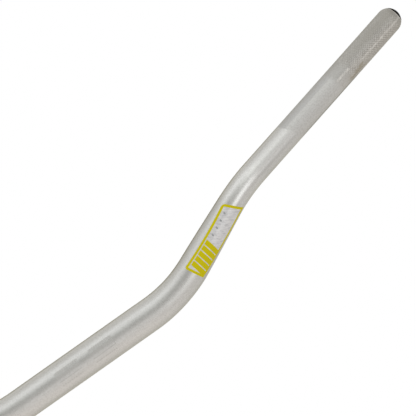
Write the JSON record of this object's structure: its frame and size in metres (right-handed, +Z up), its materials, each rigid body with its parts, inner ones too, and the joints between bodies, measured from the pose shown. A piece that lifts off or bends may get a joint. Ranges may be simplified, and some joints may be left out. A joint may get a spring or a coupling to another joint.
{
  "type": "motorcycle handlebar",
  "caption": "Wide tapered off-road handlebar: one bent aluminium tube, thick at the fork clamps and thin at the swept grips, with end plugs and riser labels.",
  "frame": {"origin": "middle of the clamp section, on the tube's axis", "axes": "+X along the clamp section to the rider's left, +Y to the rear, the way the grips sweep, +Z up, the way the risers climb"},
  "size_m": [0.7796, 0.0687, 0.1133],
  "materials": {
    "tube": "satin silver anodised, finely brushed round the tube, matte and knurled at the clutch grip",
    "plug": "moulded black plastic",
    "label": "clear-coated silver film with a yellow printed border"
  },
  "bodies": {
    "root": {"bar_tube": "tube", "end_plug_left": "plug", "end_plug_right": "plug", "decal_left": "label", "decal_right": "label"}
  },
  "joints": []
}
